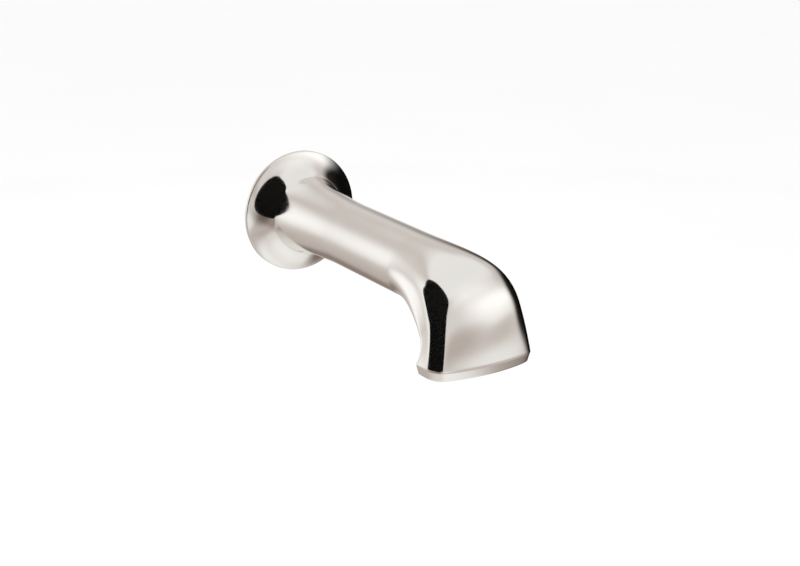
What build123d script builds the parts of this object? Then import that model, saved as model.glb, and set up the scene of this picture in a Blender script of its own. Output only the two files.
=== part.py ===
from build123d import *
import os
from math import cos, hypot, pi, sin

# Wall-mounted bath spout, in millimetres.
# The origin is the centre of the flange's back face, on the wall. The spout reaches along -Y, and +Z is up.
# A place in the side view is (reach, height): reach is the distance from the wall, height is above the axis.

# Wall flange with a dished face
flange_diameter = 70.0
flange_rim = 2.6
rim_bevel = 0.4
back_chamfer = 0.5
face_angle = 15.0
face_pull = 6.0

# Neck, sweeping from the flange's face like a trumpet and tapering to the tube
neck_reach = 12.0
neck_swell = 4.1
neck_angle = 15.0
neck_inner_pull = 6.0
neck_outer_pull = 9.4
taper_pull = 10.5
tube_start = 60.0

# Straight tube
tube_diameter = 35.4
tube_wall = 3.5

# Head: the tube turns down into a wide, flat-fronted mouth
head_start = 123.8
head_widening = 0.75
top_level_pull = 45.6
top_fall_pull = 44.9
under_level_pull = 13.4
under_fall_pull = 21.9

# Lip of the mouth
lip_reach = 191.6
lip_depth = 22.6
lip_width = 60.9
lip_drop = 33.4
lip_crown = 3.6
lip_side_draw = 3.5
lip_flare = 2.4
lip_flare_from = 0.75
lip_squareness = 13.0
lip_corner_onset = 2.5
lip_band = 5.1
lip_taper = 1.1
mouth_wall = 3.0
mouth_squareness = 6.0
mouth_corner_onset = 1.4

# Rubber gasket let into the back of the flange, and the hollow inside it that narrows to the bore
gasket_land = 5.0
gasket_width = 4.6
gasket_thickness = 1.5
gasket_clearance = 0.1
hollow_depth = 18.0

# Inlet adapter: it screws to the pipe at the wall, and the spout slides over it
adapter_setback = 2.0
adapter_length = 48.0
adapter_clearance = 0.15
hex_across_flats = 30.0
hex_length = 7.0
thread_bore_diameter = 18.6
thread_depth = 17.0
waterway_diameter = 15.0

# Square-cut rubber seal rings in grooves of the adapter, counted from its end
seal_count = 2
seal_section = 1.9
seal_end_distance = 6.0
seal_spacing = 6.0
seal_side_gap = 0.35
seal_clearance = 0.05

# Set screw under the neck, its point in a groove of the adapter
screw_reach = 26.0
screw_diameter = 4.9
screw_length = 5.0
screw_tip_diameter = 1.6
screw_socket_across_flats = 2.5
screw_socket_depth = 2.5
screw_hole_clearance = 0.05
screw_groove_depth = 1.2
screw_seat_gap = 0.1

# How finely the head's skin is drawn, and how closely its parts are joined
section_steps = 32
corner_crowding = 0.12
head_steps = 32
lip_steps = 4
skin_tolerance = 0.01
seam_tolerance = 0.02

flange_radius = flange_diameter / 2
tube_radius = tube_diameter / 2
bore_radius = tube_radius - tube_wall
seat_radius = flange_radius - gasket_land
hollow_radius = seat_radius - gasket_width - 2 * gasket_clearance
adapter_radius = bore_radius - adapter_clearance
adapter_end = adapter_setback + adapter_length
seal_groove_floor = bore_radius - seal_section - 2 * seal_clearance
outer_corners = (lip_squareness, lip_corner_onset)
inner_corners = (mouth_squareness, mouth_corner_onset)
seal_reaches = [adapter_end - seal_end_distance - seal_spacing * index for index in range(seal_count)]
side_view = Plane(origin=(0, 0, 0), x_dir=(0, -1, 0), z_dir=(-1, 0, 0))


def turned(*lines):
    """A solid turned about the tube's axis from a closed outline in (reach, radius)."""
    return revolve(side_view * make_face(lines), Axis.Y)


def turned_polygon(*corners):
    """A turned solid with a straight-sided outline."""
    return turned(Polyline(*corners, close=True))


def cubic(start, pull_out, pull_in, end, s):
    """A point of a cubic curve in the side view."""
    weights = ((1 - s) ** 3, 3 * (1 - s) ** 2 * s, 3 * (1 - s) * s**2, s**3)
    corners = (start, pull_out, pull_in, end)
    return [sum(w * p[axis] for w, p in zip(weights, corners)) for axis in (0, 1)]


def top_line(s):
    """The middle line of the head's top and front, from the tube (s = 0) to the lip (s = 1)."""
    start = (head_start, tube_radius)
    end = (lip_reach - lip_crown - lip_flare, -lip_drop)
    return cubic(start, (start[0] + top_level_pull, start[1]), (end[0], end[1] + top_fall_pull), end, s)


def under_line(s):
    """The middle line of the head's underside and back, from the tube (s = 0) to the lip (s = 1)."""
    start = (head_start, -tube_radius)
    end = (lip_reach - lip_depth + lip_flare, -lip_drop)
    return cubic(start, (start[0] + under_level_pull, start[1]), (end[0], end[1] + under_fall_pull), end, s)


def half_section(s, corners, inset=0.0, drop=0.0):
    """The right half of one section of the head, from the underside up to the top.

    It is a half circle at the tube. At the lip it is half of a soft-cornered oblong with a crowned front,
    and its sides draw in towards the front.
    """
    top = top_line(s)
    under = under_line(s)
    depth = hypot(top[0] - under[0], top[1] - under[1])
    middle = [(t + u) / 2 for t, u in zip(top, under)]
    along = [(t - u) / depth for t, u in zip(top, under)]
    spread = s**head_widening
    ease = spread**2 * (3 - 2 * spread)
    flare = lip_flare * (max(0.0, s - lip_flare_from) / (1 - lip_flare_from)) ** 2
    half_width = tube_radius + (lip_width / 2 - lip_flare - tube_radius) * ease + flare - inset
    half_depth = depth / 2 + flare - inset
    squareness, onset = corners
    power = 2 + (squareness - 2) * s**onset
    points = []
    for index in range(section_steps + 1):
        turn = pi * index / section_steps - pi / 2
        angle = turn + corner_crowding * sin(4 * turn)
        side = cos(angle) if 0 < index < section_steps else 0.0
        size = (side**power + abs(sin(angle)) ** power) ** (1 / power)
        across = side / size
        up = sin(angle) / size
        front = ease * max(0.0, up) ** 2
        x = (half_width - lip_side_draw * front) * across
        v = half_depth * up + lip_crown * front * (1 - across**2)
        points.append((x, -middle[0] - v * along[0], middle[1] + v * along[1] - drop))
    return points


def skinned(sections):
    """A solid with a smooth skin through half sections, the same skin mirrored, and flat ends."""
    right = Face.make_surface_from_array_of_points(sections, tol=skin_tolerance, min_deg=3, max_deg=5)
    left = right.mirror(Plane.YZ)
    ends = []
    for section in (sections[0], sections[-1]):
        x, y, z = section[section_steps // 2]
        right_edge = right.edges().sort_by_distance((x, y, z))[0]
        left_edge = left.edges().sort_by_distance((-x, y, z))[0]
        ends.append(Face(Wire([right_edge, left_edge])))
    return Solid(Shell([right, left] + ends))


def head(corners, inset_at_tube=0.0, inset_at_lip=0.0):
    """The head's outside, or with insets its inside."""
    sections = []
    for index in range(head_steps + 1):
        s = index / head_steps
        sections.append(half_section(s, corners, inset_at_tube + (inset_at_lip - inset_at_tube) * s))
    return skinned(sections)


def lip():
    """The band below the crease, drawn in a little to the mouth's edge."""
    sections = []
    for index in range(lip_steps + 1):
        share = index / lip_steps
        sections.append(half_section(1.0, outer_corners, lip_taper * share, lip_band * share))
    return skinned(sections)


def flange_and_tube():
    """The flange's thin rim and face, the neck's long sweep and the straight tube, turned in one."""
    face = Vector(flange_rim, flange_radius - rim_bevel)
    down_face = Vector(0, -1).rotate(Axis.Z, face_angle)
    neck = Vector(neck_reach, tube_radius + neck_swell)
    along_neck = Vector(1, 0).rotate(Axis.Z, -neck_angle)
    tube = Vector(tube_start, tube_radius)
    return turned(
        Polyline(
            (head_start, tube_radius),
            (head_start, 0),
            (0, 0),
            (0, flange_radius - back_chamfer),
            (back_chamfer, flange_radius),
            (flange_rim - rim_bevel, flange_radius),
            face,
        ),
        Bezier(face, face + down_face * face_pull, neck - along_neck * neck_inner_pull, neck),
        Bezier(neck, neck + along_neck * neck_outer_pull, tube - Vector(taper_pull, 0), tube),
        Line(tube, (head_start, tube_radius)),
    )


def waterway():
    """The space inside: the gasket's seat, the hollow behind the flange, the bore and the mouth."""
    back = turned_polygon(
        (0, 0),
        (0, seat_radius),
        (gasket_thickness, seat_radius),
        (gasket_thickness, hollow_radius),
        (hollow_depth, bore_radius),
        (head_start, bore_radius),
        (head_start, 0),
    )
    inside = head(inner_corners, tube_wall, mouth_wall)
    outlet = extrude(inside.faces().sort_by(Axis.Z)[0], 2 * lip_band, dir=(0, 0, -1))
    return back.fuse(inside.fuse(outlet, tol=seam_tolerance), tol=seam_tolerance)


def screw_hole():
    """The hole for the set screw, through the underside of the neck."""
    radius = screw_diameter / 2 + screw_hole_clearance
    return Pos(0, -screw_reach, -flange_radius / 2) * Cylinder(radius, flange_radius)


def spout_body():
    """The casting: flange, tube, head and lip in one piece, hollow from the wall to the mouth."""
    outside = flange_and_tube().fuse(head(outer_corners).fuse(lip(), tol=seam_tolerance), tol=seam_tolerance)
    return outside - waterway() - screw_hole()


def screw_groove():
    """The ring groove for the set screw's point, with flanks at 45 degrees."""
    floor = adapter_radius - screw_groove_depth
    floor_half = screw_tip_diameter / 2 + screw_seat_gap
    mouth_half = floor_half + bore_radius - floor
    return turned_polygon(
        (screw_reach - floor_half, floor),
        (screw_reach - mouth_half, bore_radius),
        (screw_reach + mouth_half, bore_radius),
        (screw_reach + floor_half, floor),
    )


def seal_groove(reach):
    """The square groove for one seal ring."""
    half = seal_section / 2 + seal_side_gap
    return turned_polygon(
        (reach - half, seal_groove_floor),
        (reach - half, bore_radius),
        (reach + half, bore_radius),
        (reach + half, seal_groove_floor),
    )


def inlet_adapter():
    """The turned adapter with its spanner flats, pipe thread bore, seal grooves and screw groove."""
    thread_end = adapter_setback + thread_depth
    spigot = turned_polygon(
        (adapter_setback, 0),
        (adapter_setback, adapter_radius),
        (adapter_end, adapter_radius),
        (adapter_end, 0),
    )
    hexagon = RegularPolygon(hex_across_flats / 2, 6, major_radius=False)
    flats = extrude(Plane.XZ.offset(adapter_setback) * hexagon, hex_length)
    bore = turned_polygon(
        (adapter_setback, 0),
        (adapter_setback, thread_bore_diameter / 2),
        (thread_end, thread_bore_diameter / 2),
        (thread_end, waterway_diameter / 2),
        (adapter_end, waterway_diameter / 2),
        (adapter_end, 0),
    )
    adapter = spigot + flats - bore - screw_groove()
    for reach in seal_reaches:
        adapter -= seal_groove(reach)
    return adapter


def seal_ring(reach):
    """One square-cut rubber ring, between its groove and the bore."""
    middle = seal_groove_floor + seal_clearance + seal_section / 2
    return revolve(side_view * Pos(reach, middle) * Rectangle(seal_section, seal_section), Axis.Y)


def set_screw():
    """The grub screw: a 45 degree point up in the adapter's groove and a hexagon socket below."""
    radius = screw_diameter / 2
    tip = screw_tip_diameter / 2
    tip_depth = adapter_radius - screw_groove_depth + screw_seat_gap
    end_depth = tip_depth + screw_length
    outline = Polyline(
        (0, -tip_depth),
        (tip, -tip_depth),
        (radius, tip - radius - tip_depth),
        (radius, -end_depth),
        (0, -end_depth),
        close=True,
    )
    screw = revolve(Plane.XZ * make_face(outline), Axis.Z)
    hexagon = RegularPolygon(screw_socket_across_flats / 2, 6, major_radius=False)
    socket = extrude(Pos(0, 0, -end_depth) * hexagon, screw_socket_depth)
    return Pos(0, -screw_reach, 0) * (screw - socket)


def wall_gasket():
    """The flat rubber ring that closes the flange to the wall."""
    outer = seat_radius - gasket_clearance
    inner = outer - gasket_width
    return turned_polygon((0, inner), (0, outer), (gasket_thickness, outer), (gasket_thickness, inner))


pieces = {
    "spout_body": spout_body(),
    "inlet_adapter": inlet_adapter(),
    "set_screw": set_screw(),
    "wall_gasket": wall_gasket(),
}
for number, reach in enumerate(seal_reaches, start=1):
    pieces[f"seal_ring_{number}"] = seal_ring(reach)

os.makedirs("parts", exist_ok=True)
for name, piece in pieces.items():
    export_step(piece, f"parts/{name}.step")
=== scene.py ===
from math import cos, hypot, pi, radians, sin

import bpy
from mathutils import Matrix, Vector


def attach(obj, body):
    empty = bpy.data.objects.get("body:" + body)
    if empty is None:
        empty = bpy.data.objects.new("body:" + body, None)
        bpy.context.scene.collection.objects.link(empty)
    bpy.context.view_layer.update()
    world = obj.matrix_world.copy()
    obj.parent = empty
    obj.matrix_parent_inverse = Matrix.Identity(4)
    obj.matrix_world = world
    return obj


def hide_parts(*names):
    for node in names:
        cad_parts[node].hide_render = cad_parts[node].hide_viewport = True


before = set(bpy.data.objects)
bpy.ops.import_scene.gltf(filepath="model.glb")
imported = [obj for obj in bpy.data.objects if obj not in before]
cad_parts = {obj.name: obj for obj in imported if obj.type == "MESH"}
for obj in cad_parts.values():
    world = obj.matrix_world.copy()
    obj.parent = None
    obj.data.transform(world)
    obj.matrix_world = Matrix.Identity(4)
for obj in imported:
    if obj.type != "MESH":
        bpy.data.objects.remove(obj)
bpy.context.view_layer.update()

MM = 0.001

# Sizes of the body in millimetres, as in the part's source. Only face_pull and neck_inner_pull
# differ: they soften the bend at the flange by up to 0.4 mm.
flange_radius = 35.0
flange_rim = 2.6
rim_round = 0.4
back_chamfer = 0.5
face_angle = 15.0
face_pull = 6.3
neck_reach = 12.0
neck_swell = 4.1
neck_angle = 15.0
neck_inner_pull = 3.7
neck_outer_pull = 9.4
taper_pull = 10.5
tube_start = 60.0
tube_radius = 17.7
tube_wall = 3.5
head_start = 123.8
head_widening = 0.75
top_level_pull = 45.6
top_fall_pull = 44.9
under_level_pull = 13.4
under_fall_pull = 21.9
lip_reach = 191.6
lip_depth = 22.6
lip_width = 60.9
lip_drop = 33.4
lip_crown = 3.6
lip_side_draw = 3.5
lip_flare = 2.4
lip_flare_from = 0.75
lip_squareness = 13.0
lip_corner_onset = 2.5
lip_band = 5.1
lip_taper = 1.1
lip_round = 0.5
mouth_wall = 3.0
mouth_squareness = 6.0
mouth_corner_onset = 1.4
seat_radius = 30.0
seat_depth = 1.5
hollow_radius = 25.2
hollow_depth = 18.0
screw_reach = 26.0
screw_hole_radius = 2.5

outer_corners = (lip_squareness, lip_corner_onset)
inner_corners = (mouth_squareness, mouth_corner_onset)

# Points around the body, closer together at the mouth's corners, and rings along its parts
around = 192
corner_crowding = 0.12
turns = [2 * pi * index / around for index in range(around)]
angles = [turn + corner_crowding * sin(4 * turn) for turn in turns]
face_rings = 48
neck_rings = 48
tube_rings = 12
head_rings = 120
inner_rings = 48
round_rings = 8
screw_hole_sides = 48

# The middle range of a noise that a number, and a colour, is drawn out from
noise_range = (0.3, 0.7)
tint_range = (0.35, 0.65)

# The floor in millimetres
floor_level = -320.0
floor_corners = [(-6000, -6000), (6000, -6000), (6000, 6000), (-6000, 6000)]

# The studio tent in millimetres, its tone by elevation in degrees, and its soft cards:
# azimuth, elevation, half width and half height in degrees, softness of the edge, tone
tent_centre = (0, -100, 0)
tent_radius = 1500.0
tent_segments = 48
tent_rings = 24
tent_heights = [
    (-90, 1.1),
    (-70, 1.05),
    (-50, 0.88),
    (-36, 0.6),
    (-20, 0.7),
    (-6, 0.8),
    (12, 0.85),
    (24, 0.79),
    (33, 0.75),
    (48, 1.02),
]
tent_cards = [
    (-84, -18, 66, 22, 0.6, 0.38),
    (32, 34, 46, 25, 0.9, 1.12),
    (45, 15, 36, 17, 0.8, 1.35),
    (8, 2, 34, 8, 0.8, 0.6),
    (42, 0, 26, 5, 0.8, 0.7),
    (38, -9, 40, 7, 0.8, 1.02),
    (-8, -18, 24, 9, 0.8, 1.02),
    (8, -48, 34, 20, 0.9, 1.08),
    (95, -24, 54, 42, 0.9, 0.14),
    (72, -2, 18, 8, 0.8, 0.06),
    (92, 6, 36, 28, 0.5, 0.03),
    (130, 10, 30, 22, 0.9, 0.1),
    (150, -21, 16, 14, 0.9, 0.5),
    (168, -34, 24, 12, 0.8, 0.3),
    (-136, 6, 30, 34, 0.9, 1.26),
    (-168, -13, 20, 14, 0.8, 1.26),
    (85, -49, 40, 14, 0.8, 0.25),
    (-46, -14, 40, 18, 0.9, 0.2),
]

# What a full shade takes from the tent's green and blue, and the tone of the dark flags
green_loss = 0.25
blue_loss = 0.38
flag_tone = 0.004

# Where the photograph was taken from, in its own pixels
image_width = 800
image_height = 566
focal_pixels = 1600.0
view_azimuth = radians(-32.61)
view_elevation = radians(18.4)
origin_pixel = (298.55, 209.89)
pixels_per_mm = 1.73
near_clip = 10.0


def steps(count):
    """Even shares from 0 to 1, without the 0."""
    return [index / count for index in range(1, count + 1)]


def turned_ring(reach, radius):
    """A circle of points about the tube's axis."""
    return [(radius * cos(a), -reach, radius * sin(a)) for a in angles]


def rounded(turn, power):
    """A point of a round-cornered square about the origin: a circle at power 2, squarer above it."""
    size = (abs(cos(turn)) ** power + abs(sin(turn)) ** power) ** (1 / power)
    return cos(turn) / size, sin(turn) / size


def cubic(start, pull_out, pull_in, end, s):
    """A point of a cubic curve in the side view."""
    weights = ((1 - s) ** 3, 3 * (1 - s) ** 2 * s, 3 * (1 - s) * s**2, s**3)
    corners = (start, pull_out, pull_in, end)
    return [sum(w * p[axis] for w, p in zip(weights, corners)) for axis in (0, 1)]


def head_ring(s, corners, inset=0.0, drop=0.0):
    """One section of the head: a circle at the tube (s = 0), a soft-cornered oblong at the lip (s = 1)."""
    front = lip_reach - lip_crown - lip_flare
    back = lip_reach - lip_depth + lip_flare
    top = cubic(
        (head_start, tube_radius),
        (head_start + top_level_pull, tube_radius),
        (front, top_fall_pull - lip_drop),
        (front, -lip_drop),
        s,
    )
    under = cubic(
        (head_start, -tube_radius),
        (head_start + under_level_pull, -tube_radius),
        (back, under_fall_pull - lip_drop),
        (back, -lip_drop),
        s,
    )
    depth = hypot(top[0] - under[0], top[1] - under[1])
    middle = [(t + u) / 2 for t, u in zip(top, under)]
    along = [(t - u) / depth for t, u in zip(top, under)]
    spread = s**head_widening
    ease = spread**2 * (3 - 2 * spread)
    flare = lip_flare * (max(0.0, s - lip_flare_from) / (1 - lip_flare_from)) ** 2
    half_width = tube_radius + (lip_width / 2 - lip_flare - tube_radius) * ease + flare - inset
    half_depth = depth / 2 + flare - inset
    squareness, onset = corners
    power = 2 + (squareness - 2) * s**onset
    points = []
    for angle in angles:
        across, up = rounded(angle, power)
        forward = ease * max(0.0, up) ** 2
        x = (half_width - lip_side_draw * forward) * across
        v = half_depth * up + lip_crown * forward * (1 - across**2)
        points.append((x, -middle[0] - v * along[0], middle[1] + v * along[1] - drop))
    return points


def outer_rings():
    """The body's outside, from the wall to the mouth's edge."""
    rim_side = flange_rim - rim_round
    face = (flange_rim, flange_radius - rim_round)
    lean = radians(face_angle)
    face_end = (face[0] + face_pull * sin(lean), face[1] - face_pull * cos(lean))
    neck = (neck_reach, tube_radius + neck_swell)
    slope = radians(neck_angle)
    before_neck = (neck[0] - neck_inner_pull * cos(slope), neck[1] + neck_inner_pull * sin(slope))
    after_neck = (neck[0] + neck_outer_pull * cos(slope), neck[1] - neck_outer_pull * sin(slope))
    tube = (tube_start, tube_radius)
    rings = [turned_ring(0, flange_radius - back_chamfer), turned_ring(back_chamfer, flange_radius)]
    rings.append(turned_ring(rim_side, flange_radius))
    for share in steps(round_rings):
        turn = share * pi / 2
        rings.append(turned_ring(rim_side + rim_round * sin(turn), face[1] + rim_round * cos(turn)))
    for share in steps(face_rings):
        rings.append(turned_ring(*cubic(face, face_end, before_neck, neck, share)))
    for share in steps(neck_rings):
        rings.append(turned_ring(*cubic(neck, after_neck, (tube[0] - taper_pull, tube[1]), tube, share)))
    for share in steps(tube_rings):
        rings.append(turned_ring(tube_start + (head_start - tube_start) * share, tube_radius))
    rings.extend(head_ring(share, outer_corners) for share in steps(head_rings))
    for share in steps(round_rings):
        drop = (lip_band - lip_round) * share
        rings.append(head_ring(1.0, outer_corners, lip_taper * drop / lip_band, drop))
    for share in steps(round_rings):
        turn = share * pi / 2
        drop = lip_band - lip_round + lip_round * sin(turn)
        inset = lip_taper * drop / lip_band + lip_round * (1 - cos(turn))
        rings.append(head_ring(1.0, outer_corners, inset, drop))
    return rings


def waterway_rings():
    """The body's inside, from the mouth's edge back to the wall."""
    bore_radius = tube_radius - tube_wall
    rings = [head_ring(1.0, inner_corners, mouth_wall, lip_band)]
    for index in range(inner_rings + 1):
        s = 1 - index / inner_rings
        rings.append(head_ring(s, inner_corners, tube_wall + (mouth_wall - tube_wall) * s))
    rings.append(turned_ring(hollow_depth, bore_radius))
    rings.append(turned_ring(seat_depth, hollow_radius))
    rings.append(turned_ring(seat_depth, seat_radius))
    rings.append(turned_ring(0, seat_radius))
    return rings


def mesh_object(name, verts, faces):
    """A new mesh object, linked to the scene."""
    mesh = bpy.data.meshes.new(name)
    mesh.from_pydata([Vector(v) * MM for v in verts], [], faces)
    mesh.validate()
    piece = bpy.data.objects.new(name, mesh)
    bpy.context.collection.objects.link(piece)
    return piece


def closed_grid(name, rings):
    """A closed skin through rings of points, the last one joined to the first."""
    verts = [point for ring in rings for point in ring]
    faces = []
    for row in range(len(rings)):
        low = row * around
        high = (row + 1) % len(rings) * around
        for column in range(around):
            after = (column + 1) % around
            faces.append((low + column, low + after, high + after, high + column))
    return mesh_object(name, verts, faces)


def drill(piece, reach, radius):
    """Cuts the set screw's hole up through the underside of the neck."""
    bpy.ops.mesh.primitive_cylinder_add(
        vertices=screw_hole_sides,
        radius=radius * MM,
        depth=flange_radius * MM,
        location=(0, -reach * MM, -flange_radius / 2 * MM),
    )
    cutter = bpy.context.object
    cut = piece.modifiers.new("screw_hole", "BOOLEAN")
    cut.operation = "DIFFERENCE"
    cut.solver = "EXACT"
    cut.object = cutter
    whole = piece.evaluated_get(bpy.context.evaluated_depsgraph_get())
    piece.data = bpy.data.meshes.new_from_object(whole)
    piece.modifiers.clear()
    bpy.data.objects.remove(cutter)


def smooth(piece, sharp_angle):
    """Smooth shading, with edges over an angle kept crisp."""
    piece.data.shade_smooth()
    piece.data.set_sharp_from_angle(angle=radians(sharp_angle))


class Finish:
    """A material made of nodes around one Principled shader."""

    def __init__(self, name, **settings):
        self.material = bpy.data.materials.new(name)
        self.material.use_nodes = True
        self.tree = self.material.node_tree
        self.shader = self.tree.nodes["Principled BSDF"]
        for socket, value in settings.items():
            self.shader.inputs[socket].default_value = value

    def node(self, kind):
        return self.tree.nodes.new(kind)

    def link(self, output, target):
        self.tree.links.new(output, target)

    def noise(self, scale, detail, stretch=(1, 1, 1)):
        """Noise in the object's own space, with its scale per metre."""
        place = self.node("ShaderNodeTexCoord")
        mapping = self.node("ShaderNodeMapping")
        mapping.inputs["Scale"].default_value = stretch
        texture = self.node("ShaderNodeTexNoise")
        texture.inputs["Scale"].default_value = scale
        texture.inputs["Detail"].default_value = detail
        self.link(place.outputs["Object"], mapping.inputs["Vector"])
        self.link(mapping.outputs["Vector"], texture.inputs["Vector"])
        return texture.outputs["Fac"]

    def colour(self, value, dark, light):
        """The shader's colour between two tints, by a value."""
        ramp = self.node("ShaderNodeValToRGB")
        for element, position, tint in zip(ramp.color_ramp.elements, tint_range, (dark, light)):
            element.position = position
            element.color = (*tint, 1)
        self.link(value, ramp.inputs["Fac"])
        self.link(ramp.outputs["Color"], self.shader.inputs["Base Color"])

    def roughness(self, value, low, high):
        """The shader's roughness between two numbers, by a value."""
        ranged = self.node("ShaderNodeMapRange")
        ranged.inputs["From Min"].default_value, ranged.inputs["From Max"].default_value = noise_range
        ranged.inputs["To Min"].default_value = low
        ranged.inputs["To Max"].default_value = high
        self.link(value, ranged.inputs["Value"])
        self.link(ranged.outputs["Result"], self.shader.inputs["Roughness"])

    def bump(self, value, depth):
        """Relief of a depth in millimetres."""
        relief = self.node("ShaderNodeBump")
        relief.inputs["Strength"].default_value = 1.0
        relief.inputs["Distance"].default_value = depth * MM
        self.link(value, relief.inputs["Height"])
        self.link(relief.outputs["Normal"], self.shader.inputs["Normal"])


def polished_nickel():
    """Warm nickel polished to a soft mirror, with faint buffing lines along the spout."""
    finish = Finish("polished_nickel", Metallic=1.0)
    finish.colour(finish.noise(scale=30, detail=3), dark=(0.745, 0.725, 0.69), light=(0.775, 0.755, 0.72))
    finish.roughness(finish.noise(scale=900, detail=6, stretch=(1, 0.2, 1)), low=0.06, high=0.1)
    finish.bump(finish.noise(scale=2500, detail=2, stretch=(1, 0.04, 1)), depth=0.0004)
    return finish.material


def turned_brass():
    """Unpolished brass with the fine rings that a lathe leaves."""
    finish = Finish("turned_brass", Metallic=1.0)
    finish.colour(finish.noise(scale=120, detail=5), dark=(0.52, 0.36, 0.14), light=(0.70, 0.52, 0.24))
    finish.roughness(finish.noise(scale=400, detail=6), low=0.22, high=0.4)
    finish.bump(finish.noise(scale=3000, detail=2, stretch=(0.02, 1, 0.02)), depth=0.012)
    return finish.material


def screw_steel():
    """Plain dark steel, a little worn."""
    finish = Finish("screw_steel", Metallic=1.0)
    finish.colour(finish.noise(scale=700, detail=5), dark=(0.24, 0.24, 0.25), light=(0.42, 0.42, 0.43))
    finish.roughness(finish.noise(scale=1500, detail=5), low=0.28, high=0.45)
    finish.bump(finish.noise(scale=4000, detail=3), depth=0.004)
    return finish.material


def rubber(name, dark, light, grain):
    """Black rubber between two tones, with a fine moulded grain."""
    finish = Finish(name, Metallic=0.0)
    finish.colour(finish.noise(scale=250, detail=5), (dark,) * 3, (light,) * 3)
    finish.roughness(finish.noise(scale=600, detail=4), low=0.55, high=0.75)
    finish.bump(finish.noise(scale=grain, detail=3), depth=0.02)
    return finish.material


def floor_material():
    """Pale floor that stays white to the eye and keeps its shadows."""
    finish = Finish("floor_white", Roughness=0.9)
    finish.colour(finish.noise(scale=3, detail=2), (0.955,) * 3, (0.965,) * 3)
    return finish.material


def paint(piece, material):
    """One material all over a piece."""
    piece.data.materials.clear()
    piece.data.materials.append(material)


def emission(name, tone):
    """A stage card's plain glow."""
    material = bpy.data.materials.new(name)
    material.use_nodes = True
    nodes = material.node_tree.nodes
    nodes.remove(nodes["Principled BSDF"])
    glow = nodes.new("ShaderNodeEmission")
    glow.inputs["Color"].default_value = (tone, tone, tone, 1)
    glow.inputs["Strength"].default_value = 1.0
    material.node_tree.links.new(glow.outputs["Emission"], nodes["Material Output"].inputs["Surface"])
    return material


def soft_blob(tree, vector, soft):
    """A value of 1 about the origin that fades to 0 at a distance of 1."""
    blob = tree.nodes.new("ShaderNodeTexGradient")
    blob.gradient_type = "SPHERICAL"
    tree.links.new(vector, blob.inputs["Vector"])
    edge = tree.nodes.new("ShaderNodeMapRange")
    edge.interpolation_type = "SMOOTHSTEP"
    edge.inputs["From Max"].default_value = soft
    tree.links.new(blob.outputs["Fac"], edge.inputs["Value"])
    return edge.outputs["Result"]


def mirror_only(piece):
    """Hides a piece of the studio from all but mirrors."""
    piece.visible_camera = False
    piece.visible_diffuse = False
    piece.visible_shadow = False


def rounded_flag(name, material, centre, yaw, pitch, half_width, half_height, squareness):
    """A flat card with rounded corners, turned and tipped by angles in degrees, that only mirrors see."""
    y = radians(yaw)
    p = radians(pitch)
    facing = Vector((cos(y) * cos(p), sin(y) * cos(p), sin(p)))
    along = Vector((-sin(y), cos(y), 0))
    up = facing.cross(along)
    corners = []
    for turn in turns:
        u, v = rounded(turn, squareness)
        corners.append(Vector(centre) + along * (half_width * u) + up * (half_height * v))
    piece = mesh_object(name, corners, [tuple(range(len(corners)))])
    paint(piece, material)
    mirror_only(piece)


def soft_flag(name, centre, half_width, half_height, soft):
    """An upright dark card along the spout whose edges fade out, and that only mirrors see."""
    bpy.ops.mesh.primitive_plane_add(rotation=(pi / 2, 0, pi / 2))
    piece = bpy.context.object
    piece.name = name
    piece.location = Vector(centre) * MM
    piece.scale = (half_width * MM, half_height * MM, 1)
    material = emission(name, flag_tone)
    nodes = material.node_tree.nodes
    links = material.node_tree.links
    place = nodes.new("ShaderNodeTexCoord")
    mix = nodes.new("ShaderNodeMixShader")
    links.new(soft_blob(material.node_tree, place.outputs["Object"], soft), mix.inputs["Fac"])
    links.new(nodes.new("ShaderNodeBsdfTransparent").outputs["BSDF"], mix.inputs[1])
    links.new(nodes["Emission"].outputs["Emission"], mix.inputs[2])
    links.new(mix.outputs["Shader"], nodes["Material Output"].inputs["Surface"])
    paint(piece, material)
    mirror_only(piece)


def softbox(name, place, target, width, height, power):
    """A soft rectangular lamp turned to a target, that mirrors don't see."""
    lamp = bpy.data.lights.new(name, "AREA")
    lamp.shape = "RECTANGLE"
    lamp.size = width * MM
    lamp.size_y = height * MM
    lamp.energy = power
    piece = bpy.data.objects.new(name, lamp)
    piece.location = Vector(place) * MM
    piece.rotation_euler = (Vector(target) - Vector(place)).to_track_quat("-Z", "Y").to_euler()
    piece.visible_camera = False
    piece.visible_glossy = False
    bpy.context.collection.objects.link(piece)


def studio_world():
    """Plain white surroundings."""
    world = bpy.data.worlds.new("studio")
    bpy.context.scene.world = world
    world.use_nodes = True
    world.node_tree.nodes["Background"].inputs["Color"].default_value = (1, 1, 1, 1)
    world.node_tree.nodes["Background"].inputs["Strength"].default_value = 1.0


def warm(tone):
    """A white or a grey, the warmer the darker."""
    shade = max(0.0, 1 - tone)
    return (tone, tone * (1 - green_loss * shade), tone * (1 - blue_loss * shade), 1)


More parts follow.
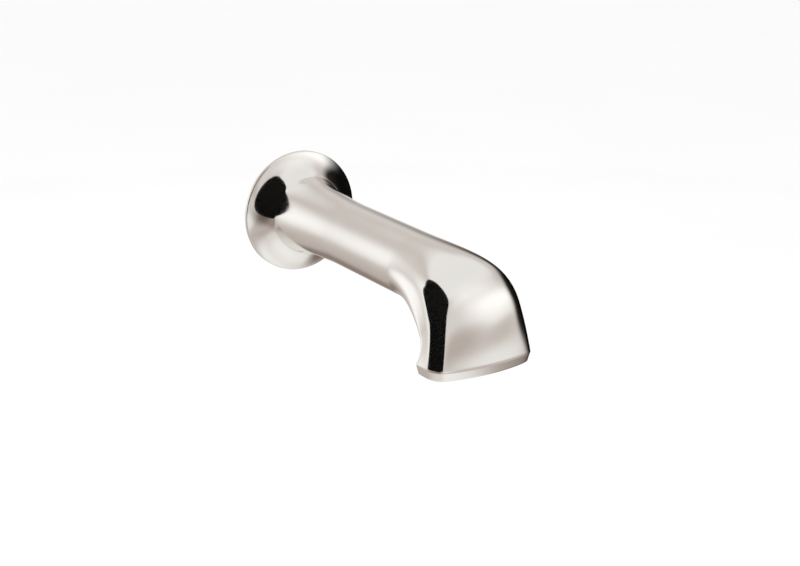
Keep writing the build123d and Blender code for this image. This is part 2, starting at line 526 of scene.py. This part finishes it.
def tent_material():
    """The tent's glow: it changes with height, and soft-edged cards lie on it."""
    material = emission("tent", 1.0)
    nodes = material.node_tree.nodes
    links = material.node_tree.links
    place = nodes.new("ShaderNodeTexCoord")
    split = nodes.new("ShaderNodeSeparateXYZ")
    links.new(place.outputs["Object"], split.inputs["Vector"])
    height = nodes.new("ShaderNodeMapRange")
    height.inputs["From Min"].default_value = -1.0
    links.new(split.outputs["Z"], height.inputs["Value"])
    ramp = nodes.new("ShaderNodeValToRGB")
    ramp.color_ramp.interpolation = "EASE"
    while len(ramp.color_ramp.elements) < len(tent_heights):
        ramp.color_ramp.elements.new(0.5)
    for element, (elevation, tone) in zip(ramp.color_ramp.elements, tent_heights):
        element.position = (1 + sin(radians(elevation))) / 2
        element.color = warm(tone)
    links.new(height.outputs["Result"], ramp.inputs["Fac"])
    colour = ramp.outputs["Color"]
    for azimuth, elevation, half_width, half_height, soft, tone in tent_cards:
        a = radians(azimuth)
        e = radians(elevation)
        local = nodes.new("ShaderNodeMapping")
        local.vector_type = "TEXTURE"
        local.inputs["Location"].default_value = (cos(e) * sin(a), -cos(e) * cos(a), sin(e))
        local.inputs["Rotation"].default_value = (-e, 0, a)
        local.inputs["Scale"].default_value = (sin(radians(half_width)), 1, sin(radians(half_height)))
        links.new(place.outputs["Object"], local.inputs["Vector"])
        mix = nodes.new("ShaderNodeMix")
        mix.data_type = "RGBA"
        mix.inputs["B"].default_value = warm(tone)
        links.new(soft_blob(material.node_tree, local.outputs["Vector"], soft), mix.inputs["Factor"])
        links.new(colour, mix.inputs["A"])
        colour = mix.outputs["Result"]
    links.new(colour, nodes["Emission"].inputs["Color"])
    return material


def tent():
    """A round studio tent that only mirrors see."""
    bpy.ops.mesh.primitive_uv_sphere_add(segments=tent_segments, ring_count=tent_rings, radius=1.0)
    piece = bpy.context.object
    piece.name = "tent"
    piece.location = Vector(tent_centre) * MM
    piece.scale = (tent_radius * MM,) * 3
    piece.data.shade_smooth()
    paint(piece, tent_material())
    mirror_only(piece)


def aim_camera():
    """The camera where the photograph was taken from."""
    right = Vector((cos(view_azimuth), sin(view_azimuth), 0))
    back = Vector(
        (
            sin(view_azimuth) * cos(view_elevation),
            -cos(view_azimuth) * cos(view_elevation),
            sin(view_elevation),
        )
    )
    up = back.cross(right)
    depth = focal_pixels / pixels_per_mm * MM
    metres_per_pixel = depth / focal_pixels
    place = back * depth
    place -= right * (origin_pixel[0] - image_width / 2) * metres_per_pixel
    place += up * (origin_pixel[1] - image_height / 2) * metres_per_pixel
    lens = bpy.data.cameras.new("camera")
    lens.sensor_fit = "HORIZONTAL"
    lens.lens = lens.sensor_width * focal_pixels / image_width
    lens.clip_start = near_clip * MM
    camera = bpy.data.objects.new("camera", lens)
    camera.matrix_world = Matrix.Translation(place) @ Matrix((right, up, back)).transposed().to_4x4()
    bpy.context.collection.objects.link(camera)
    bpy.context.scene.camera = camera


# The body
body = closed_grid("polished_body", outer_rings() + waterway_rings())
drill(body, screw_reach, screw_hole_radius)
smooth(body, sharp_angle=35)
paint(body, polished_nickel())
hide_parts("spout_body")
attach(body, "root")

# The pieces inside
seal_rubber = rubber("seal_rubber", dark=0.012, light=0.03, grain=3000)
gasket_rubber = rubber("gasket_rubber", dark=0.025, light=0.06, grain=1800)
paint(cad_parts["inlet_adapter"], turned_brass())
paint(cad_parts["set_screw"], screw_steel())
paint(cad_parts["wall_gasket"], gasket_rubber)
paint(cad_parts["seal_ring_1"], seal_rubber)
paint(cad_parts["seal_ring_2"], seal_rubber)

# The studio
studio_world()
floor = mesh_object("floor", [(x, y, floor_level) for x, y in floor_corners], [(0, 1, 2, 3)])
paint(floor, floor_material())
floor.visible_glossy = False
tent()
black = emission("flag_black", flag_tone)
rounded_flag(
    "left_flag",
    black,
    centre=(-370, -217, 258),
    yaw=13.5,
    pitch=-18,
    half_width=783,
    half_height=398,
    squareness=5.2,
)
rounded_flag(
    "back_flag",
    black,
    centre=(-370, -20, 170),
    yaw=-34,
    pitch=28,
    half_width=206,
    half_height=240,
    squareness=5,
)
soft_flag("right_flag", centre=(200, -87, -35), half_width=210, half_height=150, soft=0.6)
softbox("top_box", place=(0, -80, 900), target=(0, -80, 0), width=900, height=900, power=2.0)
aim_camera()

bpy.context.scene.view_settings.view_transform = "Standard"
